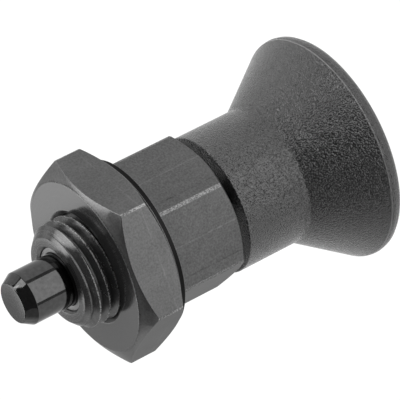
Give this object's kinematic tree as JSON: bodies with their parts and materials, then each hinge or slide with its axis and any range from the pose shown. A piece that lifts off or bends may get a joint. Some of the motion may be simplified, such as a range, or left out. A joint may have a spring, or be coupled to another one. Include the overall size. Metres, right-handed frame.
{
  "type": "indexing plunger",
  "caption": "Spring-loaded indexing plunger: a chamfered pin in a threaded hexagon sleeve with a locknut, pulled back by a flared round grip.",
  "frame": {"origin": "centre of the grip's flat end face, on which the part stands", "axes": "+Z along the pin axis, from the grip to the pin's tip; +X along the normal of one flat of the sleeve's hexagon"},
  "size_m": [0.0216, 0.0216, 0.0349],
  "materials": {
    "blackened_steel": "black oxide, satin",
    "bush_steel": "black oxide, turned",
    "polished_pin_steel": "black oxide, polished",
    "spring_wire": "drawn wire",
    "nut_steel": "black oxide, turned face",
    "grip_plastic": "fine moulded grain"
  },
  "bodies": {
    "plunger": {"indexing_pin": "polished_pin_steel", "grip": "grip_plastic"},
    "spring": {"spring": "spring_wire"},
    "sleeve": {"threaded_sleeve": "blackened_steel", "guide_bush": "bush_steel"},
    "locknut": {"locknut": "nut_steel"}
  },
  "joints": [
    {"name": "pin_turn", "type": "hinge", "parent": "plunger", "child": "spring", "pos_m": [0, 0, 0.021], "axis": [0, 0, 1], "continuous": true},
    {"name": "pin_pull", "type": "slide", "parent": "spring", "child": "sleeve", "axis": [0, 0, 1], "range_m": [0, 0.00475], "stiffness_N_per_m": 1954, "springref_m": -0.0031, "deforming": ["spring"]},
    {"name": "locknut_turn", "type": "hinge", "parent": "sleeve", "child": "locknut", "pos_m": [0, 0, 0.0248], "axis": [0, 0, 1], "continuous": true}
  ]
}
